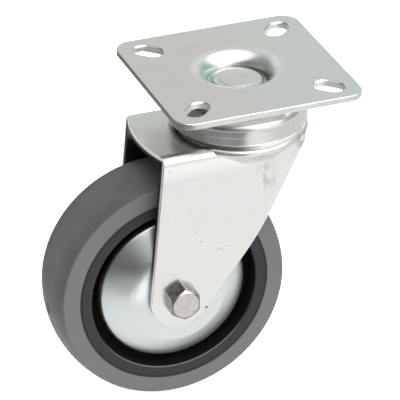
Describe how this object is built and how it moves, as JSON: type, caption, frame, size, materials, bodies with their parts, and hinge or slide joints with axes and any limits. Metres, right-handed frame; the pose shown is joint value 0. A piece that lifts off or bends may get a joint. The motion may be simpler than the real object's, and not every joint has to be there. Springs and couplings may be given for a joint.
{
  "type": "swivel castor",
  "caption": "Swivel castor with a square top plate, a ball-race swivel head, a pressed steel fork and a rubber-tyred wheel.",
  "frame": {"origin": "centre of the top plate's mounting face, on the swivel axis", "axes": "+Z along the swivel axis, up into the thing the castor carries; the wheel trails towards -X; the axle runs along Y with the bolt's head at -Y"},
  "size_m": [0.0923, 0.0596, 0.1036],
  "materials": {
    "zinc_steel": "satin",
    "bolt_steel": "satin",
    "ball_steel": "polished",
    "nylon": "matte",
    "core_plastic": "matte",
    "tyre_rubber": "matte"
  },
  "bodies": {
    "plate": {"top_plate": "zinc_steel", "king_pin": "zinc_steel", "upper_race_cup": "zinc_steel", "lower_race": "zinc_steel"},
    "fork": {"fork": "zinc_steel", "axle_bolt": "bolt_steel", "axle_nut": "bolt_steel", "nut_insert": "nylon", "axle_sleeve": "bolt_steel", "ring_spacer": "bolt_steel", "thread_guard_bolt_side": "zinc_steel", "thread_guard_nut_side": "zinc_steel", "bearing_inner_bolt_side": "ball_steel", "bearing_inner_nut_side": "ball_steel"},
    "wheel": {"tyre": "tyre_rubber", "wheel_core": "core_plastic", "bearing_outer_bolt_side": "ball_steel", "bearing_outer_nut_side": "ball_steel"},
    "upper_ball_ring": {"upper_balls": "ball_steel"},
    "lower_ball_ring": {"lower_balls": "ball_steel"},
    "bearing_set_bolt_side": {"bearing_balls_bolt_side": "ball_steel", "bearing_cage_bolt_side": "nylon"},
    "bearing_set_nut_side": {"bearing_balls_nut_side": "ball_steel", "bearing_cage_nut_side": "nylon"}
  },
  "joints": [
    {"name": "swivel", "type": "hinge", "parent": "plate", "child": "fork", "pos_m": [0, 0, 0], "axis": [0, 0, 1], "continuous": true},
    {"name": "wheel_spin", "type": "hinge", "parent": "fork", "child": "wheel", "pos_m": [-0.025, 0, -0.0661], "axis": [0, 1, 0], "continuous": true},
    {"name": "upper_ball_roll", "type": "hinge", "parent": "plate", "child": "upper_ball_ring", "pos_m": [0, 0, 0], "axis": [0, 0, 1], "continuous": true},
    {"name": "lower_ball_roll", "type": "hinge", "parent": "plate", "child": "lower_ball_ring", "pos_m": [0, 0, 0], "axis": [0, 0, 1], "continuous": true},
    {"name": "bearing_roll_bolt_side", "type": "hinge", "parent": "fork", "child": "bearing_set_bolt_side", "pos_m": [-0.025, 0, -0.0661], "axis": [0, 1, 0], "continuous": true},
    {"name": "bearing_roll_nut_side", "type": "hinge", "parent": "fork", "child": "bearing_set_nut_side", "pos_m": [-0.025, 0, -0.0661], "axis": [0, 1, 0], "continuous": true}
  ],
  "couplings": [
    {"joint": "upper_ball_roll", "follows": "swivel", "ratio": 0.5},
    {"joint": "lower_ball_roll", "follows": "swivel", "ratio": 0.5},
    {"joint": "bearing_roll_bolt_side", "follows": "wheel_spin", "ratio": 0.6323},
    {"joint": "bearing_roll_nut_side", "follows": "wheel_spin", "ratio": 0.6323}
  ]
}
